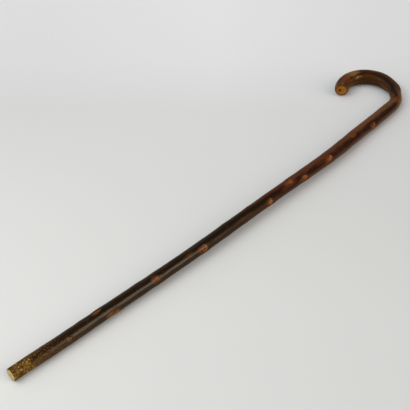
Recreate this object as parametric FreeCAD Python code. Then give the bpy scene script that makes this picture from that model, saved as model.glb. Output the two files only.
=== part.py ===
import FreeCAD
import Part
import math
import os

Vector = FreeCAD.Vector

# A crook-handled walking stick lying on a table, in millimetres and degrees.
# X runs from the sawn tip towards the crook, Y to the side that the crook curls to, Z up from the table.

# Driving dimensions of the shaft
shaft_length = 850.0        # sawn tip to the start of the bend, along X
ferrule_length = 28.0       # straight, truly round end that takes a rubber ferrule
ferrule_seat_diameter = 20.2
tip_diameter = 20.6
waist_diameter = 19.7       # slimmest part of the shaft
shoulder_diameter = 21.7    # upper shaft, up to the bend
shaft_sway = 27.0           # sideways wander of the shaft by the time it reaches the bend
shaft_rise = 7.5            # height of the shaft's belly over the table
tip_wear = 0.9              # softened edge of the sawn tip

# Driving dimensions of the crook
entry_radius = 58.0         # centreline radii of the bend, in order from the shaft
back_radius = 52.4
mouth_radius = 46.2
entry_turn = 46.0           # turns of the three arcs, in degrees
back_turn = 90.0
mouth_turn = 81.0
shoulder_heading = 5.7      # heading of the shaft where the bend starts, in degrees from X
corner_push = 3.0           # the bend's first corner stands out from its arc by this
corner_diameter = 20.0      # pinched where the bend starts to turn
crook_diameter = 26.0
nose_diameter = 24.0
nose_lift = 2.0             # the nose clears the table by this
nose_round = 2.6            # softened edge of the nose

# Layers of the wood, from the outside in
bark_thickness = 1.1
heart_diameter = 7.0
heart_drift = 3.2           # the heart lies this far off centre at the nose, to the outside of the bend
pith_diameter = 2.2

# Trimmed side shoots
shoot_face_diameter = 9.4   # across the cut face of a full-grown shoot
shoot_root_diameter = 3.6   # where it leaves the heart
shoot_lean = 32.0           # lean towards the tip, which is the growing end, in degrees
shoot_proud = 0.35          # the trimmed face stands this far over the bark
node_swelling = 0.6         # one-sided swelling of the stick round a shoot
node_reach = 17.0           # the swelling dies away this far from the shoot

# Sections of the stick: flanks of each swelling as shares of its reach, the closest pitch, and steps round the bend
flank_shares = (-1.0, -0.4, 0.4, 1.0)
least_pitch = 4.0
bend_step = 12.0            # degrees
overrun = 3.0               # of cutting tools
edge_turn = 50.0            # a softened edge turns this far before it meets the skin, in degrees
full_turn = 360.0

# Where the diameters hold, as shares of the shaft's length and then of the bend's
tip_end_share = 0.10
waist_share = 0.34
waist_end_share = 0.60
shoulder_share = 0.87
shoulder_end_share = 0.99
corner_share = 0.11
swell_share = 0.52
nose_taper_share = 0.70
corner_peak_share = 0.20    # where the corner stands out most

# Sideways wander and rise of the shaft, as shares of its length against shares of shaft_sway and shaft_rise
sway_shares = (
    (0.108, -0.033), (0.179, -0.039), (0.263, -0.070), (0.359, -0.101), (0.455, -0.075), (0.550, 0.015),
    (0.646, 0.127), (0.718, 0.186), (0.778, 0.280), (0.837, 0.432), (0.885, 0.631), (0.945, 0.816), (1.0, 1.0),
)
rise_shares = (
    (0.0, 0.0), (0.10, 0.02), (0.20, 0.20), (0.32, 0.58), (0.43, 0.88), (0.56, 1.0), (0.70, 0.90),
    (0.82, 0.56), (0.91, 0.18), (0.96, 0.02), (1.0, 0.0),
)

# Side shoots from the tip up: place as a share of the shaft's length (over 1 it runs on into the bend), clock angle
# in degrees seen from the tip (0 on the crook's side, 90 on top), and girth as a share of the full-grown shoot
shoot_shares = (
    (0.074, 144, 0.62), (0.121, 143, 0.86), (0.150, -35, 0.80), (0.189, 83, 0.78), (0.222, 181, 1.00),
    (0.275, 5, 0.90), (0.319, 144, 0.84), (0.431, 154, 1.04), (0.490, -20, 0.88), (0.552, 38, 0.80),
    (0.608, 157, 0.88), (0.673, 107, 0.86), (0.707, 159, 0.88), (0.783, 140, 1.00), (0.830, -40, 0.84),
    (0.872, 112, 0.84), (0.934, 159, 0.96), (1.032, 108, 1.06),
)


def blend(share):
    """Smooth step from 0 to 1."""
    share = min(max(share, 0.0), 1.0)
    return share * share * (3 - 2 * share)


def bell(share):
    """Smooth hump that is 1 at 0 and dies away at 1 either way."""
    return (1 + math.cos(math.pi * min(abs(share), 1.0))) / 2


def follow(table, place):
    """Value of a table of (place, value) rows at a place, eased between rows."""
    if place <= table[0][0]:
        return table[0][1]
    for (start, low), (end, high) in zip(table, table[1:]):
        if place <= end:
            return low + (high - low) * blend((place - start) / (end - start))
    return table[-1][1]


def bend_arcs():
    """Radius and turn of each arc of the bend, the turn in radians."""
    arcs = ((entry_radius, entry_turn), (back_radius, back_turn), (mouth_radius, mouth_turn))
    return [(radius, math.radians(turn)) for radius, turn in arcs]


bend_length = sum(radius * turn for radius, turn in bend_arcs())
path_length = shaft_length + bend_length

girth_table = (
    (0.0, tip_diameter),
    (tip_end_share * shaft_length, tip_diameter),
    (waist_share * shaft_length, waist_diameter),
    (waist_end_share * shaft_length, waist_diameter),
    (shoulder_share * shaft_length, shoulder_diameter),
    (shoulder_end_share * shaft_length, shoulder_diameter),
    (shaft_length + corner_share * bend_length, corner_diameter),
    (shaft_length + swell_share * bend_length, crook_diameter),
    (shaft_length + nose_taper_share * bend_length, crook_diameter),
    (path_length, nose_diameter),
)
lift_table = (
    *((share * shaft_length, rise * shaft_rise) for share, rise in rise_shares),
    (shaft_length + nose_taper_share * bend_length, 0.0),
    (path_length, nose_lift),
)
drift_table = ((0.0, 0.0), (ferrule_length, 0.0), (shaft_length, heart_drift / 2), (path_length, heart_drift))


def centre_height(distance):
    """Height of the centreline over the table."""
    return follow(girth_table, distance) / 2 + follow(lift_table, distance)


def centreline():
    """Smooth curve from the end of the ferrule's seat to the nose; its parameter is the distance from the tip."""
    places = [(ferrule_length, Vector(ferrule_length, 0, 0))]
    for share, sway in sway_shares:
        distance = share * shaft_length
        places.append((distance, Vector(distance, sway * shaft_sway, 0)))
    distance, corner = places[-1]
    heading = math.radians(shoulder_heading)
    for radius, turn in bend_arcs():
        side = Vector(-math.sin(heading), math.cos(heading), 0)
        middle = corner + side * radius
        steps = math.ceil(turn / math.radians(bend_step))
        for step in range(1, steps + 1):
            angle = turn * step / steps
            spoke = Vector(math.sin(heading + angle), -math.cos(heading + angle), 0)
            along = distance + radius * angle
            push = corner_push * bell((along - shaft_length) / (corner_peak_share * bend_length) - 1)
            places.append((along, middle + spoke * (radius + push)))
        heading += turn
        distance, corner = places[-1]
    points = [Vector(place.x, place.y, centre_height(along)) for along, place in places]
    curve = Part.BSplineCurve()
    curve.interpolate(Points=points, Parameters=[along for along, _ in places])
    return curve


path = centreline()


def cross_frame(distance):
    """Centre, forward direction, left direction and upward direction of the stick at a distance from the tip."""
    if distance <= ferrule_length:
        return Vector(distance, 0, tip_diameter / 2), Vector(1, 0, 0), Vector(0, 1, 0), Vector(0, 0, 1)
    centre = path.value(distance)
    forward = path.tangent(distance)[0]
    left = Vector(0, 0, 1).cross(forward)
    left.normalize()
    return centre, forward, left, forward.cross(left)


def clock_direction(distance, clock):
    """Direction square to the stick at a clock angle seen from the tip."""
    _, _, left, up = cross_frame(distance)
    angle = math.radians(clock)
    return left * math.cos(angle) + up * math.sin(angle)


def swelling(distance):
    """Sideways shift and extra radius that the side shoots near this place give the stick."""
    shift = Vector(0, 0, 0)
    extra = 0.0
    for share, clock, girth_share in shoot_shares:
        hump = node_swelling * girth_share * bell((distance - share * shaft_length) / node_reach) / 2
        if hump > 0 and distance > ferrule_length:
            shift = shift + clock_direction(distance, clock) * hump
            extra += hump
    return shift, extra


def ring(distance, centre, radius):
    """Round section square to the stick."""
    _, forward, left, up = cross_frame(distance)
    wire = Part.Wire(Part.Circle(Vector(0, 0, 0), Vector(0, 0, 1), radius).toShape())
    wire.Placement = FreeCAD.Placement(centre, FreeCAD.Rotation(left, up, forward, "ZXY"))
    return wire


def shaft_stations():
    """Distances of the shaft's sections: its ends, the ferrule's seat, and both flanks of each swelling."""
    wanted = [shaft_length]
    for share, _, _ in shoot_shares:
        wanted += [share * shaft_length + flank * node_reach for flank in flank_shares]
    chosen = [0.0, ferrule_length]
    for distance in sorted(wanted):
        if distance - chosen[-1] > least_pitch and shaft_length - distance > least_pitch:
            chosen.append(distance)
    return chosen + [shaft_length]


def bend_stations():
    """Distances of the bend's sections, evenly spaced."""
    steps = math.ceil(sum(turn for _, turn in bend_arcs()) / math.radians(bend_step))
    return [shaft_length + bend_length * step / steps for step in range(steps + 1)]


def round_stick(section):
    """Solid through the sections: straight flanks along the shaft, then one smooth skin round the bend."""
    shaft = Part.makeLoft([section(distance) for distance in shaft_stations()], True, True)
    bend = Part.makeLoft([section(distance) for distance in bend_stations()], True, False)
    return shaft.fuse(bend)


def wood_solid(inset):
    """The whole stick with its knots' swellings, this far under the surface of the bark."""
    def section(distance):
        shift, extra = swelling(distance)
        radius = follow(girth_table, distance) / 2 + extra - inset
        return ring(distance, cross_frame(distance)[0] + shift, radius)
    return round_stick(section)


def heart_solid(diameter):
    """A plain round core that drifts to the outside of the bend."""
    def section(distance):
        centre, _, left, _ = cross_frame(distance)
        return ring(distance, centre - left * follow(drift_table, distance), diameter / 2)
    return round_stick(section)


def end_trimmer(distance, inward, end_radius, softness, seat_length):
    """Ring that turns a straight seat of this radius and rounds the edge of the end face."""
    arc_radius = softness / math.sin(math.radians(edge_turn))

    def on_arc(angle):
        spoke = Vector(math.sin(math.radians(angle)), 0, -math.cos(math.radians(angle)))
        return Vector(end_radius - softness, 0, arc_radius) + spoke * arc_radius

    arc = Part.Arc(on_arc(0), on_arc(edge_turn / 2), on_arc(edge_turn))
    outer = end_radius + overrun
    corners = [on_arc(edge_turn), Vector(end_radius, 0, seat_length), Vector(outer, 0, seat_length),
               Vector(outer, 0, -overrun), Vector(end_radius - softness, 0, -overrun), on_arc(0)]
    sides = [Part.makeLine(start, end) for start, end in zip(corners, corners[1:])]
    profile = Part.Face(Part.Wire([arc.toShape(), *sides]))
    trimmer = profile.revolve(Vector(0, 0, 0), Vector(0, 0, 1), full_turn)
    centre, _, left, _ = cross_frame(distance)
    trimmer.Placement = FreeCAD.Placement(centre, FreeCAD.Rotation(left, inward.cross(left), inward, "ZXY"))
    return trimmer


def trimmed_ends(solid):
    """The solid with its ferrule seat turned and the edges of its tip and nose softened."""
    tip = end_trimmer(0.0, cross_frame(0.0)[1], ferrule_seat_diameter / 2, tip_wear, ferrule_length)
    nose = end_trimmer(path_length, -cross_frame(path_length)[1], nose_diameter / 2, nose_round, nose_round)
    return solid.cut([tip, nose])


def shoot_cone(share, clock, girth_share):
    """Tapered stub of a side shoot, from the heart to beyond the bark."""
    distance = share * shaft_length
    centre, forward, left, _ = cross_frame(distance)
    lean = math.radians(shoot_lean)
    outward = clock_direction(distance, clock) * math.cos(lean) - forward * math.sin(lean)
    reach = (follow(girth_table, distance) / 2 + node_swelling) / math.cos(lean)
    root = shoot_root_diameter / 2 * girth_share
    face = shoot_face_diameter / 2 * girth_share
    length = reach + overrun
    end = root + (face - root) * length / reach
    start = centre - left * follow(drift_table, distance)
    return Part.makeCone(root, end, length, start, outward)


def build():
    """Every piece of the stick by name, before it is moved to its frame."""
    outside = trimmed_ends(wood_solid(0.0))
    under_bark = wood_solid(bark_thickness)
    wood = trimmed_ends(under_bark)
    heart = heart_solid(heart_diameter)
    pith = heart_solid(pith_diameter)
    cones = [shoot_cone(*row) for row in shoot_shares]
    skin = wood_solid(-shoot_proud)
    pieces = {
        "bark": outside.cut([under_bark, *cones]),
        "sapwood": wood.cut([heart, *cones]),
        "heartwood": heart.cut(pith),
        "pith": pith,
    }
    for number, cone in enumerate(cones, 1):
        pieces[f"side_shoot_knot_{number:02d}"] = cone.common(skin).cut(heart)
    return pieces


def export(pieces):
    """Move the pieces to the middle of their footprint on the table and write each one."""
    os.makedirs("parts", exist_ok=True)
    box = Part.makeCompound([shape.Solids[0] for shape in pieces.values()]).optimalBoundingBox()
    home = Vector(-(box.XMin + box.XMax) / 2, -(box.YMin + box.YMax) / 2, -box.ZMin)
    for name, shape in pieces.items():
        solid = shape.Solids[0]
        solid.translate(home)
        solid.exportStep(f"parts/{name}.step")
        state = "sound" if solid.isValid() and len(shape.Solids) == 1 else "BROKEN"
        print(f"{name}: {state}, {len(solid.Faces)} faces, {solid.Volume / 1000:.2f} cm3")
    print(f"size {box.XLength:.1f} x {box.YLength:.1f} x {box.ZLength:.1f} mm, moved by {home}")
    nose, ahead, _, _ = cross_frame(path_length)
    print(f"tip face centre {cross_frame(0.0)[0] + home}, nose face centre {nose + home}, nose faces {ahead}")


export(build())
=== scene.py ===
import math

import bpy
import numpy as np
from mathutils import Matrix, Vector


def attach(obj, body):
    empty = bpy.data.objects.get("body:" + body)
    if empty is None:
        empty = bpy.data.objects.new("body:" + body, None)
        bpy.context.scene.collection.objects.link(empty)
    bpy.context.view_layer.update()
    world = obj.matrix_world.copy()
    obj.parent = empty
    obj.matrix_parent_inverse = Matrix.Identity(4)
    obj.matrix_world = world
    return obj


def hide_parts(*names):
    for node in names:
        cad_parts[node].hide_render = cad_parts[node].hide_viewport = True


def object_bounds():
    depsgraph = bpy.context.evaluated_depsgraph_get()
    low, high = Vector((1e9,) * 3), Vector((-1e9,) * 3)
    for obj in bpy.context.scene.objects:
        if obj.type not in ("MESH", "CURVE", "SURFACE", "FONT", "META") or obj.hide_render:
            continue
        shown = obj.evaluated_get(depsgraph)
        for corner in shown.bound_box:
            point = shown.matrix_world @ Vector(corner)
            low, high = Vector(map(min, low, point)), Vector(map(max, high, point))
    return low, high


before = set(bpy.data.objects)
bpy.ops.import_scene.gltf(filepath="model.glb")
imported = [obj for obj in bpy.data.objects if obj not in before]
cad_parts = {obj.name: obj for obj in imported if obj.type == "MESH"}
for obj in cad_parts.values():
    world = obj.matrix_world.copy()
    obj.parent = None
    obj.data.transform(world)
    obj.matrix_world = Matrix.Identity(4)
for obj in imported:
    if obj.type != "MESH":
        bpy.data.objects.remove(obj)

cadLow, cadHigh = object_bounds()


# Shape of the stick, the same values as the solid model has, in metres and degrees from the sawn tip
stick = {
    "home": (-0.457884, -0.065108, 0.000130),
    "shaftLength": 0.850,
    "ferruleLength": 0.028,
    "seatRadius": 0.0101,
    "noseRadius": 0.0120,
    "tipWear": 0.0009,
    "noseRound": 0.0026,
    "edgeTurn": 50.0,
    "edgeSteps": 6,
    "sway": 0.0270,
    "rise": 0.0075,
    "noseLift": 0.002,
    "shoulderHeading": 5.7,
    "bendArcs": ((0.058, 46.0), (0.0524, 90.0), (0.0462, 81.0)),
    "bendStep": 12.0,
    "cornerPush": 0.0030,
    "cornerReach": 0.20,
    "barkThickness": 0.0011,
    "heartDiameter": 0.007,
    "pithDiameter": 0.0022,
    "heartDrift": 0.0032,
    "nodeSwelling": 0.0006,
    "nodeReach": 0.017,
    "swayShares": ((0.108, -0.033), (0.179, -0.039), (0.263, -0.070), (0.359, -0.101), (0.455, -0.075),
                   (0.550, 0.015), (0.646, 0.127), (0.718, 0.186), (0.778, 0.280), (0.837, 0.432),
                   (0.885, 0.631), (0.945, 0.816), (1.0, 1.0)),
    "riseShares": ((0.0, 0.0), (0.10, 0.02), (0.20, 0.20), (0.32, 0.58), (0.43, 0.88), (0.56, 1.0),
                   (0.70, 0.90), (0.82, 0.56), (0.91, 0.18), (0.96, 0.02), (1.0, 0.0)),
}
shaftLength = stick["shaftLength"]
bendLength = sum(radius * math.radians(turn) for radius, turn in stick["bendArcs"])
pathLength = shaftLength + bendLength
thickest = shaftLength + 0.70 * bendLength
girths = (
    (0.0, 0.0206), (0.085, 0.0206), (0.289, 0.0197), (0.510, 0.0197), (0.7395, 0.0217), (0.8415, 0.0217),
    (shaftLength + 0.11 * bendLength, 0.0200), (shaftLength + 0.52 * bendLength, 0.0260), (thickest, 0.0260),
    (pathLength, 0.0240),
)
lifts = (
    *((share * shaftLength, rise * stick["rise"]) for share, rise in stick["riseShares"]),
    (thickest, 0.0), (pathLength, stick["noseLift"]),
)
drifts = (
    (0.0, 0.0), (stick["ferruleLength"], 0.0), (shaftLength, stick["heartDrift"] / 2),
    (pathLength, stick["heartDrift"]),
)

# Trimmed side shoots. A row has the place as a share of the shaft, the clock angle and the girth of the
# swelling, as in the solid model, then half length and half width of the cut face in millimetres, how far it
# has opened towards the tip, the tone of its wood, and how dark its core is
knots = {
    "leanShift": 0.625,
    "lip": {"height": 0.00026, "at": 1.18, "width": 0.20},
    "socket": {"depth": 0.0007, "reach": 0.75},
    "stain": {"at": 1.12, "width": 0.14},
    "dome": 0.00018, "rimDrop": 0.00022, "ripple": 0.00006, "pit": 0.00025, "crack": 0.00022,
    "rings": 12, "spokes": 48, "rootSteps": (0.10, 0.30, 0.55, 0.72),
    # the pattern's reach goes on past the rim: at the steps of the root, and at its foot
    "rootReach": (1.1, 1.3, 1.5, 1.7), "footReach": 1.8,
    # relief and pores fade beside a knot, over this share of its cut face and down to this strength
    "calmWidth": 0.8, "calmLeast": 0.15,
    "haloRose": 0.3, "haloWarm": 0.75,
    "wobbles": ((2, 0.11), (3, 0.08), (5, 0.04), (7, 0.03)),
    "rows": (
        (0.074, 144, 0.62, 2.8, 2.4, 0.0, "rose", 0.5),
        (0.121, 143, 0.86, 5.2, 4.6, 0.0, "rose", 0.3),
        (0.150, -35, 0.80, 5.0, 4.2, 0.2, "tan", 0.6),
        (0.189, 83, 0.78, 4.2, 3.0, 0.0, "rust", 0.4),
        (0.222, 181, 1.00, 6.6, 4.6, 0.4, "orange", 0.3),
        (0.275, 5, 0.90, 5.2, 4.6, 0.3, "orange", 0.6),
        (0.319, 144, 0.84, 5.0, 4.2, 0.0, "rust", 0.3),
        (0.431, 154, 1.04, 6.6, 6.0, 0.9, "orange", 1.0),
        (0.490, -20, 0.88, 5.0, 4.4, 0.2, "tan", 0.6),
        (0.552, 38, 0.80, 4.6, 4.2, 0.3, "rust", 0.6),
        (0.608, 157, 0.88, 4.6, 5.8, 0.0, "tan", 0.1),
        (0.673, 107, 0.86, 7.2, 4.0, 0.3, "rust", 0.2),
        (0.707, 159, 0.88, 5.8, 5.2, 0.5, "amber", 0.2),
        (0.783, 140, 1.00, 6.4, 5.4, 0.7, "amber", 0.5),
        (0.830, -40, 0.84, 4.8, 4.2, 0.2, "tan", 0.6),
        (0.872, 112, 0.84, 4.4, 3.4, 0.2, "faint", 0.4),
        (0.934, 159, 0.96, 4.6, 5.8, 0.8, "amber", 0.5),
        (1.032, 108, 1.06, 5.8, 4.8, 0.3, "faint", 0.2),
    ),
    "tones": {
        "rose": (0.150, 0.064, 0.030), "tan": (0.440, 0.165, 0.016), "orange": (0.370, 0.105, 0.009),
        "rust": (0.230, 0.062, 0.010), "amber": (0.390, 0.098, 0.006), "faint": (0.130, 0.038, 0.008),
    },
    "tints": {
        "deep": (0.05, 0.014, 0.005), "pale": (0.50, 0.185, 0.020), "middle": (0.050, 0.016, 0.006),
        "opening": (0.040, 0.015, 0.006), "shade": (0.038, 0.011, 0.0035),
    },
}


def eased(rows, places):
    at, values = np.array(rows, float).T
    places = np.asarray(places, float)
    index = np.clip(np.searchsorted(at, places) - 1, 0, len(at) - 2)
    share = np.clip((places - at[index]) / (at[index + 1] - at[index]), 0, 1)
    return values[index] + (values[index + 1] - values[index]) * share * share * (3 - 2 * share)


def hump(distance):
    return (1 + np.cos(np.pi * np.minimum(np.abs(distance), 1.0))) / 2


def pathPoints():
    rows = [(stick["ferruleLength"], stick["ferruleLength"], 0.0)]
    rows += [(share * shaftLength, share * shaftLength, sway * stick["sway"])
             for share, sway in stick["swayShares"]]
    along, x, y = rows[-1]
    heading = math.radians(stick["shoulderHeading"])
    for radius, degrees in stick["bendArcs"]:
        turn = math.radians(degrees)
        middle = x - math.sin(heading) * radius, y + math.cos(heading) * radius
        steps = math.ceil(degrees / stick["bendStep"])
        for step in range(1, steps + 1):
            angle = heading + turn * step / steps
            place = along + radius * turn * step / steps
            far = (place - shaftLength) / (stick["cornerReach"] * bendLength) - 1
            reach = radius + stick["cornerPush"] * hump(far)
            rows.append((place, middle[0] + math.sin(angle) * reach, middle[1] - math.cos(angle) * reach))
        heading += turn
        along, x, y = rows[-1]
    rows = np.array(rows)
    height = eased(girths, rows[:, 0]) / 2 + eased(lifts, rows[:, 0])
    return rows[:, 0], np.column_stack([rows[:, 1], rows[:, 2], height])


def splineSlopes(at, points):
    gap = np.diff(at)
    chord = np.diff(points, axis=0) / gap[:, None]
    count = len(at)
    system, right = np.zeros((count, count)), np.zeros((count, 3))
    system[0, 0] = system[-1, -1] = 1
    right[0] = chord[0] - (chord[1] - chord[0]) * gap[0] / (gap[0] + gap[1])
    right[-1] = chord[-1] + (chord[-1] - chord[-2]) * gap[-1] / (gap[-1] + gap[-2])
    for row in range(1, count - 1):
        before, after = 1 / gap[row - 1], 1 / gap[row]
        system[row, row - 1:row + 2] = before, 2 * (before + after), after
        right[row] = 3 * (chord[row - 1] * before + chord[row] * after)
    return np.linalg.solve(system, right)


pathAt, pathCo = pathPoints()
pathSlope = splineSlopes(pathAt, pathCo)


def pathFrame(along):
    along = np.atleast_1d(np.asarray(along, float))
    index = np.clip(np.searchsorted(pathAt, along, side="right") - 1, 0, len(pathAt) - 2)
    gap = (pathAt[index + 1] - pathAt[index])[:, None]
    t = (along - pathAt[index])[:, None] / gap
    p, q, m, n = pathCo[index], pathCo[index + 1], pathSlope[index] * gap, pathSlope[index + 1] * gap
    centre = (2*t**3 - 3*t**2 + 1) * p + (t**3 - 2*t**2 + t) * m + (3*t**2 - 2*t**3) * q + (t**3 - t**2) * n
    forward = (6*t**2 - 6*t) * (p - q) + (3*t**2 - 4*t + 1) * m + (3*t**2 - 2*t) * n
    straight = along <= stick["ferruleLength"]
    centre[straight] = np.column_stack([along, along * 0, along * 0 + girths[0][1] / 2])[straight]
    forward[straight] = 1, 0, 0
    forward /= np.linalg.norm(forward, axis=1)[:, None]
    left = np.cross((0, 0, 1), forward)
    left /= np.linalg.norm(left, axis=1)[:, None]
    return centre, forward, left, np.cross(forward, left)


def spokes(along, clock):
    centre, forward, left, up = pathFrame(along)
    return centre, left * np.cos(clock)[:, None] + up * np.sin(clock)[:, None]


def skinAt(along, clock, inset=0.0):
    # the outside of the bark: round sections, shifted and swollen where side shoots grew
    centre, out = spokes(along, clock)
    radius = eased(girths, along) / 2 - inset
    for place, angle, girth, *_ in knots["rows"]:
        swell = stick["nodeSwelling"] * girth * hump((along - place * shaftLength) / stick["nodeReach"]) / 2
        swell = np.where(along > stick["ferruleLength"], swell, 0)
        _, towards = spokes(along, np.full(len(along), math.radians(angle)))
        centre = centre + towards * swell[:, None]
        radius = radius + swell
    return centre, out, radius


def knotPlace(row):
    along = row[0] * shaftLength - float(eased(girths, row[0] * shaftLength)) / 2 * knots["leanShift"]
    return along, math.radians(row[1])


def knotReach(along, clock, row):
    # distance from a knot's middle, as a share of its cut face, and the angle round it
    place, angle = knotPlace(row)
    around = (clock - angle + np.pi) % (2 * np.pi) - np.pi
    u = (along - place) * 1000 / row[3]
    v = around * float(eased(girths, place)) / 2 * 1000 / row[4]
    return np.hypot(u, v), np.arctan2(v, u)


def patches(along, clock, rows):
    # soft oval patches: place in metres, clock angle, half length and half width in millimetres, strength
    total = np.zeros(len(along))
    for place, angle, length, width, strength in rows:
        around = (clock - math.radians(angle) + np.pi) % (2 * np.pi) - np.pi
        u, v = (along - place) * 1000 / length, around * eased(girths, along) / 2 * 1000 / width
        total = np.maximum(total, strength * np.exp(-(u * u + v * v)))
    return total


# Node trees: a wrapped socket does its sums with operators, and one method makes every other node
class Wire:
    def __init__(self, board, socket):
        self.board, self.socket = board, socket

    def maths(self, operation, first, second):
        return self.board.node("ShaderNodeMath", {"operation": operation}, {0: first, 1: second})

    def __add__(self, other):
        return self.maths("ADD", self, other)

    def __sub__(self, other):
        return self.maths("SUBTRACT", self, other)

    def __rsub__(self, other):
        return self.maths("SUBTRACT", other, self)

    def __mul__(self, other):
        return self.maths("MULTIPLY", self, other)

    def __pow__(self, other):
        return self.maths("POWER", self, other)

    __radd__, __rmul__ = __add__, __mul__


class Board:
    def __init__(self, tree):
        self.tree = tree

    def node(self, kind, settings=None, inputs=None, output=0):
        made = self.tree.nodes.new(kind)
        for name, value in (settings or {}).items():
            if name == "stops":
                ramp = made.color_ramp
                while len(ramp.elements) < len(value):
                    ramp.elements.new(1.0)
                for element, (place, colour) in zip(ramp.elements, value):
                    element.position, element.color = place, (*colour, 1.0)
            else:
                setattr(made, name, value)
        for key, value in (inputs or {}).items():
            if isinstance(value, Wire):
                self.tree.links.new(value.socket, made.inputs[key])
            else:
                made.inputs[key].default_value = value
        return Wire(self, made.outputs[output]) if made.outputs else None

    def attribute(self, name, output="Fac"):
        return self.node("ShaderNodeAttribute", {"attribute_name": name}, output=output)

    def scaled(self, vector, factors):
        return self.node("ShaderNodeVectorMath", {"operation": "MULTIPLY"}, {0: vector, 1: factors})

    def noise(self, vector, factors, detail=3.0, roughness=0.55, distortion=0.0):
        return self.node("ShaderNodeTexNoise", None, {
            "Vector": self.scaled(vector, factors), "Scale": 1.0, "Detail": detail,
            "Roughness": roughness, "Distortion": distortion})

    def step(self, value, low, high):
        smooth = {"interpolation_type": "SMOOTHSTEP"}
        return self.node("ShaderNodeMapRange", smooth, {0: value, 1: low, 2: high})

    def mix(self, share, first, second, blend="MIX"):
        first, second = [c if isinstance(c, Wire) else (*c, 1.0) for c in (first, second)]
        return self.node("ShaderNodeMix", {"data_type": "RGBA", "blend_type": blend},
                         {0: share, 6: first, 7: second}, 2)

    def bump(self, height, distance, strength):
        inputs = {"Height": height, "Distance": distance, "Strength": strength}
        return self.node("ShaderNodeBump", None, inputs)


varnish = {"Coat Roughness": 0.15, "Coat IOR": 1.38}


def material(name, paint, **fixed):
    made = bpy.data.materials.new(name)
    made.use_nodes = True
    made.node_tree.nodes.clear()
    board = Board(made.node_tree)
    sockets = {**fixed, **paint(board)}
    shader = board.node("ShaderNodeBsdfPrincipled", None, sockets)
    board.node("ShaderNodeOutputMaterial", None, {"Surface": shader})
    return made


# Varnished bark
bark = {
    "pitch": 0.00135, "around": 96, "innerPitch": 0.012,
    "ridgeDepth": 0.00022, "lumpDepth": 0.00045, "knobbleDepth": 0.0009, "seed": 4.0,
    # painted shade and dark reflection, on the side painted darkest: its clock angle and half width in
    # degrees, along the path
    "paintedShadeClock": ((0.0, 106.0), (0.440, 106.0), (0.600, 136.0), (0.850, 136.0), (0.902, 62.0),
                  (pathLength, 66.0)),
    "paintedShadeSpread": ((0.0, 32.0), (0.850, 32.0), (0.902, 20.0), (pathLength, 20.0)),
    # where the tip is worn and the nose knobbly, and how far relief fades at both ends and past the seat
    "wornFrom": 0.024, "wornTo": 0.042, "noseFrom": pathLength - 0.046, "noseFade": 0.02,
    "endFade": 0.004, "seatFade": 0.001,
    # the radius of the straightened stick that the patterns are laid on
    "patternRadius": 0.0115,
    # wrinkles round the nose: place, width and depth in metres
    "grooves": ((pathLength - 0.0085, 0.0014, 0.0007), (pathLength - 0.0150, 0.0012, 0.0004),
                (pathLength - 0.0215, 0.0016, 0.0003)),
    "grooveWander": (0.0012, 0.0006),
    # stained patches: place along the path, clock angle, half length and half width in millimetres, strength
    "redPatches": ((0.262, 115, 9, 4, 0.9), (0.330, 120, 12, 4, 0.6), (0.450, 135, 30, 4, 0.5),
                   (0.560, 135, 26, 5, 0.6), (0.590, 160, 18, 5, 0.7), (0.640, 120, 26, 6, 0.5),
                   (0.700, 95, 30, 8, 0.3), (0.760, 100, 40, 9, 0.3), (0.880, 135, 10, 6, 0.8),
                   (pathLength - 0.011, 60, 5, 12, 0.8), (pathLength - 0.022, 85, 9, 16, 1.0)),
    "goldPatches": ((0.135, 90, 12, 2.5, 0.35), (0.155, 85, 10, 2.4, 0.7), (0.174, 172, 11, 3.2, 0.95),
                    (0.885, 175, 20, 9, 1.0), (0.905, 165, 12, 6, 0.8), (0.915, 150, 14, 4, 0.6),
                    (0.962, 100, 14, 3, 0.5), (0.985, 120, 12, 5, 0.6), (0.998, 90, 14, 9, 0.8),
                    (pathLength - 0.024, 158, 12, 9, 1.0), (pathLength - 0.036, 145, 12, 10, 0.6)),
    "rosePatches": ((0.046, 185, 4, 2.5, 0.9), (0.066, 150, 9, 4, 0.5), (0.094, 172, 9, 3, 0.5)),
    "haloReach": (2.1, 1.5), "haloShift": 0.45,
    "fleckTo": 0.130, "fleckFade": 0.09,
    # colours along the whole path, of the darkest and of the lightest bark
    "darkTones": (
        (0.00, (0.030, 0.016, 0.0035)), (0.06, (0.020, 0.010, 0.0038)), (0.14, (0.0100, 0.0052, 0.0019)),
        (0.46, (0.0100, 0.0046, 0.0016)), (0.55, (0.021, 0.0041, 0.0011)), (0.80, (0.019, 0.0054, 0.0014)),
        (0.86, (0.014, 0.0065, 0.0027)), (0.90, (0.019, 0.0070, 0.0023)), (0.94, (0.024, 0.0080, 0.0016)),
        (1.00, (0.036, 0.014, 0.0030))),
    "lightTones": (
        (0.00, (0.110, 0.064, 0.016)), (0.06, (0.066, 0.036, 0.013)), (0.14, (0.038, 0.023, 0.0105)),
        (0.42, (0.040, 0.021, 0.0095)), (0.50, (0.074, 0.0240, 0.0090)), (0.68, (0.093, 0.032, 0.012)),
        (0.74, (0.130, 0.048, 0.018)), (0.82, (0.122, 0.053, 0.022)), (0.865, (0.050, 0.024, 0.0110)),
        (0.90, (0.058, 0.0200, 0.0050)), (0.94, (0.064, 0.0220, 0.0036)), (0.965, (0.090, 0.035, 0.0075)),
        (1.00, (0.150, 0.060, 0.0140))),
    "tints": {
        "red": (0.120, 0.028, 0.009), "streak": (0.140, 0.060, 0.015), "gold": (0.190, 0.085, 0.020),
        "goldFleck": (0.38, 0.20, 0.050), "goldShade": (0.030, 0.012, 0.004), "rose": (0.105, 0.050, 0.033),
        "halo": (0.190, 0.052, 0.007), "fleck": (0.21, 0.10, 0.024), "wornDark": (0.048, 0.023, 0.006),
        "wornPale": (0.240, 0.128, 0.024), "wornFleck": (0.50, 0.33, 0.12), "collar": (0.050, 0.013, 0.005),
    },
}


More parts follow.
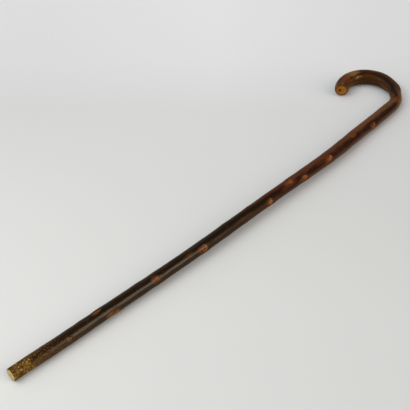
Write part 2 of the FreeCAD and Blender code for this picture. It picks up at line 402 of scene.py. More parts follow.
def barkFinish(b):
    tints = bark["tints"]
    straight = b.attribute("straight", "Vector")
    along = b.node("ShaderNodeSeparateXYZ", None, {0: straight}) * (1 / pathLength)
    worn, red, gold, rose, halo, fleck, collar, flank = (b.attribute(name) for name in (
        "worn", "redStain", "goldStain", "roseStain", "halo", "fleck", "collar", "flank"))
    # each noise has its grains per metre, along the stick and across it
    fibre = b.noise(straight, (36, 700, 700), 4.0, 0.6)
    streak = b.noise(straight, (14, 130, 130), 3.0, 0.65)
    mottle = b.noise(straight, (70, 150, 150), 4.0, 0.6)
    speckle = b.noise(straight, (420, 560, 560), 2.0, 0.6)
    flakes = b.noise(straight, (260, 330, 330), 2.0, 0.6)
    drift = b.noise(straight, (9, 60, 60), 2.0)
    bend = b.step(along, 0.84, 0.90)
    grained = (streak - 0.5) * (bend * 2.0 + 0.4)  # long streaks, much stronger on the bend
    dark = b.node("ShaderNodeValToRGB", {"stops": bark["darkTones"]}, {0: along})
    light = b.node("ShaderNodeValToRGB", {"stops": bark["lightTones"]}, {0: along})
    # the tone is partly painted shade: the bark darkens towards the side where the shade is painted
    tone = b.step(fibre * 0.50 + mottle * 0.32 + drift * 0.28 + flank * 0.42 + grained, 0.52, 1.00)
    colour = b.mix(tone, dark, light)
    colour = b.mix(b.step(red + mottle * 0.5 + grained, 0.45, 1.0) * 0.7, colour, tints["red"])
    colour = b.mix(b.step(streak, 0.57, 0.66) * bend * 0.4, colour, tints["streak"])
    gilded = b.step(gold + mottle * 0.6 + fibre * 0.25 + grained * 0.9, 0.60, 1.15)
    colour = b.mix(gilded, colour, tints["gold"])
    colour = b.mix(b.step(gold * (flakes + 0.45), 0.80, 0.92), colour, tints["goldFleck"])
    colour = b.mix(b.step(gold * (1.45 - flakes), 0.80, 0.92) * bend, colour, tints["goldShade"])
    colour = b.mix(b.step(rose + mottle * 0.4, 0.45, 0.95) * 0.8, colour, tints["rose"])
    colour = b.mix(b.step(halo + mottle * 0.5 + grained, 0.50, 1.10) * 0.85, colour, tints["halo"])
    flecked = b.step(speckle + mottle * 0.3 + fleck * 0.10, 0.80, 0.90) * fleck
    colour = b.mix(flecked, colour, tints["fleck"])
    rub = b.step(worn + mottle * 0.9 - 0.45, 0.30, 0.62)  # ragged edge of the worn tip
    patchy = b.step(flakes * 0.7 + mottle * 0.7, 0.55, 0.88)
    colour = b.mix(rub, colour, b.mix(patchy, tints["wornDark"], tints["wornPale"]))
    colour = b.mix(b.step(flakes + speckle * 0.3, 0.78, 0.86) * rub, colour, tints["wornFleck"])
    # darker in a ring round each knot, and painted shade in the grooves of the nose's wrinkles
    colour = b.mix(collar * 0.35, colour, tints["collar"])
    height = fibre * 0.7 + speckle * (0.25 + worn * 1.0)
    return {"Base Color": colour, "Roughness": 0.30 + mottle * 0.15 + worn * 0.30,
            "Coat Weight": (1.0 - fleck * 0.85) * 0.13, "Normal": b.bump(height, 0.00025, 0.55)}


barkVarnish = material("barkVarnish", barkFinish, **varnish, **{
    "Specular IOR Level": 0.03, "Specular Tint": (1.0, 0.70, 0.42, 1.0)})


def ringMesh(name, rings, closed=True):
    # a skin over rings of points that all have the same count; closed joins the last ring to the first
    rings = np.asarray(rings)
    count, spokesCount = rings.shape[:2]
    here = np.arange(count if closed else count - 1)[:, None] * spokesCount
    there = (here + spokesCount) % (count * spokesCount)
    ahead = np.arange(spokesCount)[None, :]
    beside = (ahead + 1) % spokesCount
    faces = np.stack([here + ahead, there + ahead, there + beside, here + beside], axis=-1).reshape(-1, 4)
    mesh = bpy.data.meshes.new(name)
    mesh.from_pydata(rings.reshape(-1, 3).tolist(), [], faces.tolist())
    mesh.update()
    return mesh


ownPieces = []


def addPiece(name, mesh, finish):
    piece = bpy.data.objects.new(name, mesh)
    bpy.context.scene.collection.objects.link(piece)
    piece.data.materials.clear()
    piece.data.materials.append(finish)
    piece.data.shade_smooth()
    ownPieces.append(piece)
    return piece


def tuckIn(mesh):
    # a pore or a knot's lip at the very side of the stick is pressed back to the solid model's reach
    co = np.empty(len(mesh.vertices) * 3, np.float32)
    mesh.vertices.foreach_get("co", co)
    gap = 0.00001
    co = np.clip(co.reshape(-1, 3), np.array(cadLow) + gap, np.array(cadHigh) - gap)
    mesh.vertices.foreach_set("co", co.ravel())
    mesh.update()


def storeFloat(mesh, name, values):
    data = mesh.attributes.new(name, "FLOAT", "POINT").data
    data.foreach_set("value", np.asarray(values, np.float32).ravel())


def storeVector(mesh, name, values):
    data = mesh.attributes.new(name, "FLOAT_VECTOR", "POINT").data
    data.foreach_set("vector", np.asarray(values, np.float32).ravel())


def softEdge(radius, softness):
    # depth from the end face and radius round a softened edge
    arc = softness / math.sin(math.radians(stick["edgeTurn"]))
    turns = np.radians(np.linspace(0, stick["edgeTurn"], stick["edgeSteps"]))
    return np.column_stack([arc - arc * np.cos(turns), radius - softness + arc * np.sin(turns)])


def skinRings(alongs, radii, inset):
    # full rings of the stick at these places; a radius of None takes the bark's own, less the inset
    clock = np.linspace(0, 2 * np.pi, bark["around"], endpoint=False)
    along, turn = np.repeat(alongs, len(clock)), np.tile(clock, len(alongs))
    centre, out, radius = skinAt(along, turn, inset)
    if radii is not None:
        radius = np.repeat(radii, len(clock))
    return along, turn, centre, out, radius


def makeBark():
    tipEdge = softEdge(stick["seatRadius"], stick["tipWear"])
    noseEdge = softEdge(stick["noseRadius"], stick["noseRound"])[::-1]
    start, end = tipEdge[-1, 0], pathLength - noseEdge[0, 0]
    steps = round((end - start) / bark["pitch"])
    wall = np.linspace(start, end, steps + 1)[1:-1]
    under = stick["barkThickness"]
    inner = np.linspace(pathLength, 0, round(pathLength / bark["innerPitch"]))
    parts = [
        skinRings(tipEdge[:, 0], tipEdge[:, 1], 0),
        skinRings(wall, None, 0),
        skinRings(pathLength - noseEdge[:, 0], noseEdge[:, 1], 0),
        skinRings(inner, None, under),
    ]
    along, turn, centre, out, radius = (np.concatenate(group) for group in zip(*parts))
    outer = np.arange(len(along)) < sum(len(part[0]) for part in parts[:3])
    seat = np.clip((along - stick["ferruleLength"]) / bark["seatFade"], 0, 1)
    grown = stick["seatRadius"] + (radius - stick["seatRadius"]) * seat
    radius = np.where(outer & (along > tipEdge[-1, 0]), grown, radius)
    relief = np.zeros(len(along))
    collar = np.zeros(len(along))
    calm = np.ones(len(along))
    halo = np.zeros(len(along))
    lip, socket, stain = knots["lip"], knots["socket"], knots["stain"]
    for row in knots["rows"]:
        reach, swing = knotReach(along, turn, row)
        relief += lip["height"] * np.exp(-((reach - lip["at"]) / lip["width"]) ** 2)
        relief -= socket["depth"] * np.exp(-(reach / socket["reach"]) ** 6)
        collar = np.maximum(collar, np.exp(-((reach - stain["at"]) / stain["width"]) ** 2))
        calm = np.minimum(calm, np.clip((reach - 1.0) / knots["calmWidth"], knots["calmLeast"], 1))
        # orange wood that shows through round the knot, drawn out towards the tip
        ahead, beside = reach * np.cos(swing) + bark["haloShift"], reach * np.sin(swing)
        spread = np.hypot(ahead / bark["haloReach"][0], beside / bark["haloReach"][1])
        strength = knots["haloRose"] if row[6] == "rose" else knots["haloWarm"]
        halo = np.maximum(halo, np.exp(-spread ** 2) * strength)
    wide, narrow = bark["grooveWander"]
    for place, width, depth in bark["grooves"]:
        wander = wide * np.sin(turn * 2 + place * 900) + narrow * np.sin(turn * 5 + 1.3)
        ring = np.exp(-((along + wander - place) / width) ** 2)
        relief -= depth * ring
        # painted shade: the groove of each wrinkle is painted darker
        collar = np.maximum(collar, 0.8 * ring)
    ends = np.clip(np.minimum(along, pathLength - along) / bark["endFade"], 0, 1)
    radius = radius + np.where(outer, relief * ends, 0)
    rings = centre + out * radius[:, None] + np.array(stick["home"])
    mesh = ringMesh("barkSkin", rings.reshape(-1, bark["around"], 3))
    unit = bark["patternRadius"]
    storeVector(mesh, "straight", np.column_stack([along, unit * np.cos(turn), unit * np.sin(turn)]))
    worn = 1 - np.clip((along - bark["wornFrom"]) / (bark["wornTo"] - bark["wornFrom"]), 0, 1)
    storeFloat(mesh, "worn", worn)
    knobbly = np.clip((along - bark["noseFrom"]) / bark["noseFade"], 0, 1)
    knobbly = knobbly * np.clip((pathLength - along) / bark["endFade"], 0.25, 1)
    storeFloat(mesh, "knobbly", np.where(outer, knobbly, 0))
    storeFloat(mesh, "calm", np.where(outer, calm * np.clip(ends, 0.2, 1), 0))
    storeFloat(mesh, "collar", collar)
    storeFloat(mesh, "redStain", patches(along, turn, bark["redPatches"]))
    storeFloat(mesh, "goldStain", patches(along, turn, bark["goldPatches"]))
    storeFloat(mesh, "roseStain", patches(along, turn, bark["rosePatches"]))
    storeFloat(mesh, "halo", halo)
    storeFloat(mesh, "fleck", np.clip((bark["fleckTo"] - along) / bark["fleckFade"], 0, 1))
    # painted shade: the bark is painted darker round the clock angle where the shade and dark reflection fall
    darkest = np.radians(eased(bark["paintedShadeClock"], along))
    away = (turn - darkest + np.pi) % (2 * np.pi) - np.pi
    storeFloat(mesh, "flank", 1 - np.exp(-(away / np.radians(eased(bark["paintedShadeSpread"], along))) ** 2))
    return addPiece("barkSkin", mesh, barkVarnish)


def geometryTree(name, sockets, build):
    tree = bpy.data.node_groups.new(name, "GeometryNodeTree")
    tree.interface.new_socket("Geometry", in_out="OUTPUT", socket_type="NodeSocketGeometry")
    tree.interface.new_socket("Geometry", in_out="INPUT", socket_type="NodeSocketGeometry")
    for label, value in sockets.items():
        socket = tree.interface.new_socket(label, in_out="INPUT", socket_type="NodeSocketFloat")
        socket.default_value = value
    board = Board(tree)
    outputs = board.node("NodeGroupInput").socket.node.outputs
    given = {socket.name: Wire(board, socket) for socket in outputs if socket.name}
    board.node("NodeGroupOutput", None, {0: build(board, given)})
    return tree


def runTree(piece, tree, values):
    # set the inputs by identifier, take the evaluated mesh, and drop the modifier
    modifier = piece.modifiers.new(tree.name, "NODES")
    modifier.node_group = tree
    for item in tree.interface.items_tree:
        if item.in_out == "INPUT" and item.name in values:
            modifier[item.identifier] = values[item.name]
    graph = bpy.context.evaluated_depsgraph_get()
    mesh = bpy.data.meshes.new_from_object(piece.evaluated_get(graph), depsgraph=graph)
    piece.modifiers.remove(modifier)
    return mesh


def named(b, kind, name):
    return b.node("GeometryNodeInputNamedAttribute", {"data_type": kind}, {"Name": name})


def reliefTree(b, given):
    straight = named(b, "FLOAT_VECTOR", "straight")
    calm, knobbly = named(b, "FLOAT", "calm"), named(b, "FLOAT", "knobbly")
    place = b.node("ShaderNodeVectorMath", {"operation": "ADD"}, {0: straight, 1: b.node(
        "ShaderNodeCombineXYZ", None, {0: given["Seed"], 1: given["Seed"], 2: given["Seed"]})})
    ridges = b.noise(place, (45, 420, 420), 3.0)
    lumps = b.noise(place, (22, 60, 60), 2.0)
    knobbles = b.noise(place, (110, 150, 150), 2.0, 0.5, 0.6)
    depth = (ridges - 1.0) * given["Ridge depth"] + (lumps - 1.0) * given["Lump depth"]
    depth = depth * calm + (knobbles - 1.0) * given["Knobble depth"] * knobbly * calm
    normal = b.node("GeometryNodeInputNormal")
    offset = b.node("ShaderNodeVectorMath", {"operation": "SCALE"}, {0: normal, "Scale": depth})
    moved = b.node("GeometryNodeSetPosition", None, {"Geometry": given["Geometry"], "Offset": offset})
    return b.node("GeometryNodeSetMaterial", None, {"Geometry": b.node(
        "GeometryNodeRealizeInstances", None, {0: moved}), "Material": barkVarnish})


barkSkin = makeBark()
barkRelief = geometryTree("barkRelief", {
    "Ridge depth": 0.0, "Lump depth": 0.0, "Knobble depth": 0.0, "Seed": 0.0}, reliefTree)
barkSkin.data = runTree(barkSkin, barkRelief, {
    "Ridge depth": bark["ridgeDepth"], "Lump depth": bark["lumpDepth"],
    "Knobble depth": bark["knobbleDepth"], "Seed": bark["seed"]})
barkSkin.data.name = "barkSkin"
barkSkin.data.shade_smooth()
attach(barkSkin, "root")
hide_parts("bark")
print("bark made:", len(barkSkin.data.polygons), "faces")


# Knots: each is a tapered stub with a cut face that is ringed, cracked and a little domed
def knotFinish(b):
    tints = knots["tints"]
    polar = b.attribute("cutFace", "Vector")
    tone = b.attribute("tone", "Color")
    reach, opening, ringed, darkSide = (b.attribute(name) for name in (
        "reach", "opening", "ringed", "darkSide"))
    grain = b.noise(polar, (3.0, 3.0, 1.0), 4.0, 0.6)
    fine = b.noise(polar, (9.0, 9.0, 1.0), 3.0, 0.6)
    rings = b.node("ShaderNodeMath", {"operation": "SINE"}, {0: reach * 17.0 + grain * 7.0}) * 0.5 + 0.5
    colour = b.mix(b.step(grain + rings * 0.25, 0.35, 0.85), b.mix(0.72, tone, tints["deep"]), tone)
    colour = b.mix(b.step(fine, 0.54, 0.68) * 0.45, colour, tints["pale"])
    middle = 1.0 - b.step(reach + grain * 0.35, 0.30, 0.62)
    colour = b.mix(middle * ringed, colour, tints["middle"])
    colour = b.mix(b.step(opening + grain * 0.3, 0.35, 0.95), colour, tints["opening"])
    blot = b.noise(polar, (1.6, 1.6, 1.0), 3.0, 0.6, 0.5)
    # the shaded part leaves a ragged crescent of the face bright
    shaded = b.step(blot * 1.8 + reach * 0.35 + darkSide * 0.45, 1.22, 1.46)
    colour = b.mix(shaded, colour, tints["shade"])
    normal = b.bump(rings * 0.5 + fine, 0.0002, 0.5)
    return {"Base Color": colour, "Roughness": 0.30 + fine * 0.14, "Normal": normal}


knotGrain = material("knotGrain", knotFinish, **varnish, **{"Specular IOR Level": 0.04, "Coat Weight": 0.14})


def makeKnot(number, row):
    name = f"side_shoot_knot_{number:02d}"
    place, angle = knotPlace(row)
    spread = np.linspace(0.10, 1.0, knots["rings"])
    turn = np.linspace(0, 2 * np.pi, knots["spokes"], endpoint=False)
    wobble = 1 + sum(size * np.sin(waves * turn + number * 2.3 + waves) for waves, size in knots["wobbles"])
    share, around = np.meshgrid(spread, turn, indexing="ij")
    stickRadius = float(eased(girths, place)) / 2
    along = place + (share * np.cos(around) * wobble * row[3] / 1000).ravel()
    clock = angle + (share * np.sin(around) * wobble * row[4] / 1000).ravel() / stickRadius
    centre, out, radius = skinAt(along, clock)
    flat, swing = share.ravel(), around.ravel()
    dome = knots["dome"] * (1 - flat ** 4) - knots["rimDrop"] * flat ** 10
    ripple = knots["ripple"] * np.sin(flat * 20 + np.sin(swing + number))
    ripple = ripple - knots["pit"] * np.exp(-(flat / 0.22) ** 2)
    split = knots["crack"] * np.exp(-(np.sin(swing - number) / 0.16) ** 2) * flat * (1 - flat) * 2
    face = centre + out * (radius + dome + ripple - split)[:, None]
    rings = list(face.reshape(len(spread), len(turn), 3))
    rootAlong = row[0] * shaftLength
    root, _, left, _ = pathFrame(rootAlong)
    root = root[0] - left[0] * float(eased(drifts, rootAlong))
    rim = rings[-1]
    rings += [rim + (root - rim) * depth for depth in knots["rootSteps"]]
    mesh = ringMesh(name, np.array(rings) + np.array(stick["home"]), closed=False)
    count = len(turn)
    points = [tuple(v.co) for v in mesh.vertices]
    faces = [tuple(p.vertices) for p in mesh.polygons]
    top = np.mean(points[:count], axis=0)
    foot = np.mean(points[-count:], axis=0)
    last = len(points) - count
    faces += [(len(points), k, (k + 1) % count) for k in range(count)]
    faces += [(len(points) + 1, last + (k + 1) % count, last + k) for k in range(count)]
    closed = bpy.data.meshes.new(name + "Wood")
    closed.from_pydata(points + [tuple(top), tuple(foot)], [], faces)
    closed.update()
    shares = np.concatenate([spread, knots["rootReach"]])
    reach = np.append(np.repeat(shares, count), (0.0, knots["footReach"]))
    swings = np.append(np.tile(turn, len(shares)), (0.0, 0.0))
    layer = np.full(len(reach), number * 3.7)
    cut = np.column_stack([reach * np.cos(swings), reach * np.sin(swings), layer])
    storeVector(closed, "cutFace", cut)
    storeFloat(closed, "reach", reach)
    storeFloat(closed, "darkSide", reach * np.cos(swings - number * 2.1))
    storeFloat(closed, "opening", row[5] * np.clip(-cut[:, 0], 0, 1))
    storeFloat(closed, "ringed", np.full(len(reach), row[7]))
    tone = closed.attributes.new("tone", "FLOAT_COLOR", "POINT")
    tone.data.foreach_set("color", np.tile((*knots["tones"][row[6]], 1.0), len(reach)))
    piece = addPiece(name + "Face", closed, knotGrain)
    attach(piece, "root")
    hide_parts(name)


for number, row in enumerate(knots["rows"], 1):
    makeKnot(number, row)
print("knots made:", len(knots["rows"]))


# Sawn ends: sapwood, heartwood and pith, each with its end faces cut, checked and marked by the saw
core = {
    "spokes": 160, "endRings": 12, "wallPitch": 0.006,
    "sawDepth": 0.00005, "sawPitch": 0.0011, "sawAcross": (0.8, 0.6),
    "checkDepth": 0.0006, "checkWidth": 0.00022, "checkFrom": 0.004, "checkSway": (0.15, 900),
    "checkShadeTint": (0.05, 0.022, 0.010), "barkGap": 0.00004, "pithHub": 0.00015,
    # drying checks: angle in radians, strength
    "tipChecks": ((0.6, 0.45), (2.1, 0.3), (3.9, 0.5), (5.2, 0.35)),
    "noseChecks": ((0.3, 0.8), (1.5, 0.6), (2.7, 0.9), (3.6, 0.5), (4.6, 0.85), (5.7, 0.6)),
    "sheen": {"Specular IOR Level": 0.06, "Coat Weight": 0.012},
    # pale and deep colour at the tip, pale and deep colour at the nose, distance between growth rings
    "tones": {
        "sapwoodEnd": (
            (0.68, 0.53, 0.24), (0.52, 0.38, 0.13), (0.50, 0.215, 0.022), (0.30, 0.105, 0.008), 0.0014),
        "heartwoodEnd": (
            (0.64, 0.48, 0.21), (0.48, 0.33, 0.12), (0.24, 0.050, 0.003), (0.12, 0.020, 0.0015), 0.0011),
        "pithEnd": (
            (0.42, 0.29, 0.12), (0.28, 0.18, 0.07), (0.11, 0.022, 0.003), (0.06, 0.011, 0.001), 0.0008),
    },
}


def endCut(offset, checks):
    # how far each point of an end face is cut in: saw marks and radial checks
    span, turn = np.hypot(offset[:, 0], offset[:, 1]), np.arctan2(offset[:, 1], offset[:, 0])
    x, y = core["sawAcross"]
    sway, waves = core["checkSway"]
    across = offset[:, 0] * x + offset[:, 1] * y
    marks = core["sawDepth"] * (1 + np.sin(across * 2 * np.pi / core["sawPitch"]))
    for angle, strength in checks:
        gap = (turn - angle - sway * np.sin(span * waves) + np.pi) % (2 * np.pi) - np.pi
        slit = np.exp(-(gap * span / core["checkWidth"]) ** 2) * np.clip(span / core["checkFrom"], 0, 1)
        marks = marks + core["checkDepth"] * strength * slit
    return marks


def coreSection(along, turn, share, outer, inner):
    # a ring of points between the inner and the outer radius, off centre as the heart is
    centre, forward, left, up = pathFrame(along)
    out = left * np.cos(turn)[:, None] + up * np.sin(turn)[:, None]
    drift = -left * eased(drifts, along)[:, None]
    if outer is None:
        ringCentre, _, radius = skinAt(along, turn, stick["barkThickness"] + core["barkGap"])
        shifted = ringCentre - centre
    else:
        shifted, radius = drift, np.full(len(along), outer)
    rim = shifted + out * radius[:, None]
    hub = drift + out * inner
    return centre, forward, left, up, hub + (rim - hub) * share[:, None]


def makeCore(name, node, finish, outer, inner):
    turn = np.linspace(0, 2 * np.pi, core["spokes"], endpoint=False)
    steps = round(pathLength / core["wallPitch"])
    shares = np.linspace(0, 1, core["endRings"])
    plan = [(0.0, share, 1) for share in shares]
    plan += [(along, 1.0, 0) for along in np.linspace(0, pathLength, steps + 1)[1:-1]]
    plan += [(pathLength, share, -1) for share in shares[::-1]]
    if inner:
        plan += [(along, 0.0, 0) for along in np.linspace(pathLength, 0, steps // 4)[1:-1]]
    along, share, end = (np.repeat([row[k] for row in plan], len(turn)) for k in range(3))
    around = np.tile(turn, len(plan))
    centre, forward, left, up, offset = coreSection(along, around, share, outer, inner or core["pithHub"])
    fromHeart = offset + left * eased(drifts, along)[:, None]
    grain = np.column_stack([(fromHeart * left).sum(axis=1), (fromHeart * up).sum(axis=1)])
    cut = np.where(end > 0, endCut(grain, core["tipChecks"]), endCut(grain, core["noseChecks"]))
    cut = np.where(end == 0, 0, cut)
    points = centre + offset + forward * (cut * end)[:, None] + np.array(stick["home"])
    mesh = ringMesh(name, points.reshape(len(plan), len(turn), 3), closed=bool(inner))
    attributes = np.column_stack([grain, along])
    if not inner:
        count, last = len(turn), len(points) - len(turn)
        old = [tuple(p) for p in points]
        faces = [tuple(p.vertices) for p in mesh.polygons]
        faces += [(len(old), k, (k + 1) % count) for k in range(count)]
        faces += [(len(old) + 1, last + (k + 1) % count, last + k) for k in range(count)]
        ends = [points[:count].mean(axis=0), points[-count:].mean(axis=0)]
        mesh = bpy.data.meshes.new(name)
        mesh.from_pydata(old + [tuple(p) for p in ends], [], faces)
        mesh.update()
        attributes = np.vstack([attributes, (0, 0, 0), (0, 0, pathLength)])
        cut = np.append(cut, (0, 0))
    storeVector(mesh, "grain", attributes)
    # how deep each point is cut in, for the painted shade in the checks and saw marks
    storeFloat(mesh, "check", np.clip(cut / core["checkDepth"], 0, 1))
    piece = addPiece(name, mesh, finish)
    piece.data.set_sharp_from_angle(angle=math.radians(40))
    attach(piece, "root")
    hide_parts(node)


def endFinish(tipPale, tipDeep, nosePale, noseDeep, pitch):
    def paint(b):
        grain = b.attribute("grain", "Vector")
        along = b.node("ShaderNodeSeparateXYZ", None, {0: grain}, "Z")
        flat = b.scaled(grain, (1, 1, 0))
        span = b.node("ShaderNodeVectorMath", {"operation": "LENGTH"}, {0: flat}, "Value")
        blotch = b.noise(grain, (260, 260, 3), 4.0, 0.6)
        pores = b.noise(grain, (1500, 1500, 20), 2.0)
        wave = span * (6.283 / pitch) + blotch * 3.0
        rings = b.node("ShaderNodeMath", {"operation": "SINE"}, {0: wave}) * 0.5 + 0.5
        share = b.step(rings * 0.45 + blotch * 0.6 + pores * 0.3, 0.35, 1.05)
        nose = b.step(along, 0.4, 0.6)
        colour = b.mix(share, b.mix(nose, tipDeep, noseDeep), b.mix(nose, tipPale, nosePale))
        # painted shade: the end faces darken where they are cut deeper, in the checks and the saw marks
        colour = b.mix(b.attribute("check") ** 1.5, colour, core["checkShadeTint"])
        normal = b.bump(rings * 0.4 + pores, 0.0002, 0.5)
        return {"Base Color": colour, "Roughness": 0.44 + blotch * 0.16, "Normal": normal}
    return paint


heartRadius, pithRadius = stick["heartDiameter"] / 2, stick["pithDiameter"] / 2
sapwoodFinish, heartFinish, pithFinish = (
    material(name, endFinish(*core["tones"][name]), **core["sheen"]) for name in core["tones"])
makeCore("sapwoodCore", "sapwood", sapwoodFinish, None, heartRadius)
makeCore("heartwoodCore", "heartwood", heartFinish, heartRadius, pithRadius)
makeCore("pithCore", "pith", pithFinish, pithRadius, 0.0)
print("sawn ends made")


# Lenticels: small raised pores scattered over the bark, fewer beside the knots and none on the worn tip
lenticels = {
    "perSquareMetre": 5500.0, "length": 0.0008, "width": 0.00045, "height": 0.00015, "seed": 3,
    "sizes": (0.5, 1.3), "sizeSeed": 5,
    "dark": (0.040, 0.020, 0.009), "pale": (0.120, 0.058, 0.022),
}


def lenticelPaint(b):
    straight = b.node("ShaderNodeTexCoord", output="Object")
    tint = b.noise(straight, (90, 90, 90), 2.0)
    colour = b.mix(b.step(tint, 0.45, 0.65), lenticels["dark"], lenticels["pale"])
    return {"Base Color": colour, "Roughness": 0.35 + tint * 0.1}


lenticelCork = material("lenticelCork", lenticelPaint, **varnish, **{
    "Specular IOR Level": 0.04, "Coat Weight": 0.12})


def lenticelTree(b, given):
    density = named(b, "FLOAT", "calm") * given["Density"] * (1.0 - named(b, "FLOAT", "worn"))
    points = b.node("GeometryNodeDistributePointsOnFaces", {"distribute_method": "RANDOM"}, {
        "Mesh": given["Geometry"], "Density": density, "Seed": lenticels["seed"]}, "Points")
    facing = Wire(b, points.socket.node.outputs["Rotation"])
    dome = b.node("GeometryNodeMeshIcoSphere", None, {"Radius": 1.0, "Subdivisions": 2})
    least, most = lenticels["sizes"]
    size = b.node("FunctionNodeRandomValue", {"data_type": "FLOAT"}, {
        2: least, 3: most, "Seed": lenticels["sizeSeed"]}, 1)
    shape = b.node("ShaderNodeCombineXYZ", None, {
        0: size * given["Width"], 1: size * given["Length"], 2: size * given["Height"]})
    placed = b.node("GeometryNodeInstanceOnPoints", None, {
        "Points": points, "Instance": dome, "Rotation": facing, "Scale": shape})
    real = b.node("GeometryNodeRealizeInstances", None, {0: placed})
    return b.node("GeometryNodeSetMaterial", None, {"Geometry": real, "Material": lenticelCork})


scatter = geometryTree("lenticelScatter", {
    "Density": 0.0, "Length": 0.0, "Width": 0.0, "Height": 0.0}, lenticelTree)
pores = runTree(barkSkin, scatter, {
    "Density": lenticels["perSquareMetre"], "Length": lenticels["length"],
    "Width": lenticels["width"], "Height": lenticels["height"]})
lenticelPiece = addPiece("barkLenticels", pores, lenticelCork)
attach(lenticelPiece, "root")
print("lenticels made:", len(pores.polygons), "faces")


# Table, light and camera
studio = {
    # the table's colour near and far; the far colour carries a painted tint of the light
    "floorSize": 60.0, "floorColour": (0.780, 0.796, 0.790), "farColour": (0.765, 0.783, 0.795),
    "farFrom": -0.10, "farTo": 0.45, "cloudScale": 1.3, "cloudDepth": 0.02, "backdrop": 0.55,
    # painted light and shade on the table across the picture, near and far, and into its depth: place in
    # metres, share of colour
    "acrossNear": ((-0.34, 0.985), (0.0, 0.925), (0.34, 0.87)),
    "acrossFar": ((-0.34, 0.975), (0.0, 1.04), (0.34, 0.97)),
    "depth": ((-0.23, 1.0), (-0.11, 0.98), (0.0, 0.96), (0.25, 0.905), (0.40, 0.97), (0.60, 1.0)),
    # brightness of the room: its dark parts, and what each lobe adds round its direction
    "dim": 0.068,
    "lobes": {
        # azimuth and elevation, cosines where it starts and peaks, brightness, colour
        "window": (-125, 42, 0.30, 1.0, 0.85, (1.0, 1.0, 1.0)),
        "wall": (140, 18, 0.55, 1.0, 0.25, (1.0, 1.0, 1.0)),
        "ceiling": (-125, 82, 0.50, 1.0, 0.54, (1.0, 1.0, 1.0)),
        "lampSide": (30, 33, 0.80, 1.0, 2.1, (1.0, 0.91, 0.83)),
    },
    "panels": {
        # azimuth and elevation, distance, width, height, brightness, colour, whether it lights the room, and
        # whether it glints in the varnish
        "windowPanel": (-108, 47, 3.0, 1.8, 0.7, 3.6, (1.0, 1.0, 1.0), True, False),
        "windowGlint": (-108, 47, 3.0, 1.8, 0.7, 9.5, (1.0, 1.0, 1.0), False, True),
        "frontStrip": (20, 32, 3.0, 0.9, 2.3, 18.0, (1.0, 0.84, 0.66), False, True),
    },
    "camera": {"place": (-0.8677, -0.9131, 1.2122), "turn": (46.0, 0.0, -42.70), "angle": 22.0,
               "shift": (-0.00122, 0.00122)},
}


def shade(b, value, rows):
    # a grey ramp over a value in metres
    first, last = rows[0][0], rows[-1][0]
    stops = tuple(((place - first) / (last - first), (level,) * 3) for place, level in rows)
    share = b.node("ShaderNodeMapRange", None, {0: value, 1: first, 2: last})
    return b.node("ShaderNodeValToRGB", {"stops": stops}, {0: share})


def dotted(b, vector, axis):
    return b.node("ShaderNodeVectorMath", {"operation": "DOT_PRODUCT"}, {0: vector, 1: axis}, "Value")


def floorPaint(b):
    place = b.node("ShaderNodeTexCoord", output="Object")
    turn = math.radians(-studio["camera"]["turn"][2])
    across = dotted(b, place, (math.cos(turn), -math.sin(turn), 0))
    depth = dotted(b, place, (math.sin(turn), math.cos(turn), 0))
    far = b.step(depth, studio["farFrom"], studio["farTo"])
    # painted light and shade: the table's colour is graded across the view and into its depth
    sides = b.mix(far, shade(b, across, studio["acrossNear"]), shade(b, across, studio["acrossFar"]))
    colour = b.mix(1.0, b.mix(far, studio["floorColour"], studio["farColour"]), sides, "MULTIPLY")
    colour = b.mix(1.0, colour, shade(b, depth, studio["depth"]), "MULTIPLY")
    cloud = b.noise(place, (studio["cloudScale"],) * 3, 2.0) * studio["cloudDepth"]
    cloud = cloud + (1 - studio["cloudDepth"] / 2)
    grey = b.node("ShaderNodeCombineXYZ", None, {0: cloud, 1: cloud, 2: cloud})
    return {"Base Color": b.scaled(colour, grey), "Roughness": 0.75}


def direction(azimuth, elevation):
    # from the middle of the stick; the azimuth runs from the front, -Y, towards +X
    azimuth, elevation = math.radians(azimuth), math.radians(elevation)
    flat = math.cos(elevation)
    return math.sin(azimuth) * flat, -math.cos(azimuth) * flat, math.sin(elevation)


floorMesh = bpy.data.meshes.new("table")
floorHalf = studio["floorSize"] / 2
corners = [(x * floorHalf, y * floorHalf, 0) for x, y in ((-1, -1), (1, -1), (1, 1), (-1, 1))]
floorMesh.from_pydata(corners, [], [(0, 1, 2, 3)])
floor = addPiece("table", floorMesh, material("paleTable", floorPaint, **{"Specular IOR Level": 0.0}))

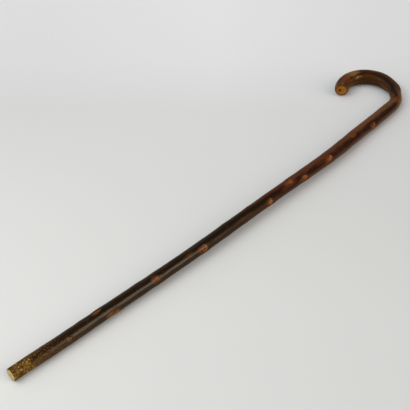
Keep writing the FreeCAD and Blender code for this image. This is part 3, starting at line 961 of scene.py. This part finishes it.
for name, values in studio["panels"].items():
    azimuth, elevation, distance, width, height, brightness, glow, lights, glints = values
    lamp = bpy.data.lights.new(name, "AREA")
    lamp.color = glow
    lamp.shape, lamp.size, lamp.size_y = "RECTANGLE", width, height
    lamp.energy = brightness * math.pi * width * height
    panel = bpy.data.objects.new(name, lamp)
    bpy.context.scene.collection.objects.link(panel)
    panel.location = [part * distance for part in direction(azimuth, elevation)]
    panel.rotation_euler = panel.location.to_track_quat("Z", "Y").to_euler()
    panel.visible_camera, panel.visible_diffuse, panel.visible_glossy = False, lights, glints

world = bpy.data.worlds.new("studio")
bpy.context.scene.world = world
world.use_nodes = True
world.node_tree.nodes.clear()
air = Board(world.node_tree)
# the camera, mirrors and glass see a plain pale backdrop, and everything else is lit by the room
seen, mirrored, through = (air.node("ShaderNodeLightPath", output=ray) for ray in (
    "Is Camera Ray", "Is Glossy Ray", "Is Transmission Ray"))
view = air.node("ShaderNodeTexCoord")
room = [studio["dim"]] * 3
for azimuth, elevation, start, peak, brightness, glow in studio["lobes"].values():
    share = air.step(dotted(air, view, direction(azimuth, elevation)), start, peak)
    room = [share * (brightness * tint) + level for tint, level in zip(glow, room)]
plain = seen + through + mirrored
red, green, blue = (level + plain * (studio["backdrop"] - level) for level in room)
glowing = air.node("ShaderNodeCombineXYZ", None, {0: red, 1: green, 2: blue})
backdrop = air.node("ShaderNodeBackground", None, {"Color": glowing})
air.node("ShaderNodeOutputWorld", None, {"Surface": backdrop})

lens = bpy.data.cameras.new("camera")
camera = bpy.data.objects.new("camera", lens)
bpy.context.scene.collection.objects.link(camera)
camera.location = studio["camera"]["place"]
camera.rotation_euler = [math.radians(turn) for turn in studio["camera"]["turn"]]
lens.sensor_fit = "HORIZONTAL"
lens.angle = math.radians(studio["camera"]["angle"])
lens.shift_x, lens.shift_y = studio["camera"]["shift"]
bpy.context.scene.camera = camera
bpy.context.scene.view_settings.view_transform = "Standard"
print("table, lights and camera made")

for piece in ownPieces:
    if piece is not floor:
        tuckIn(piece.data)
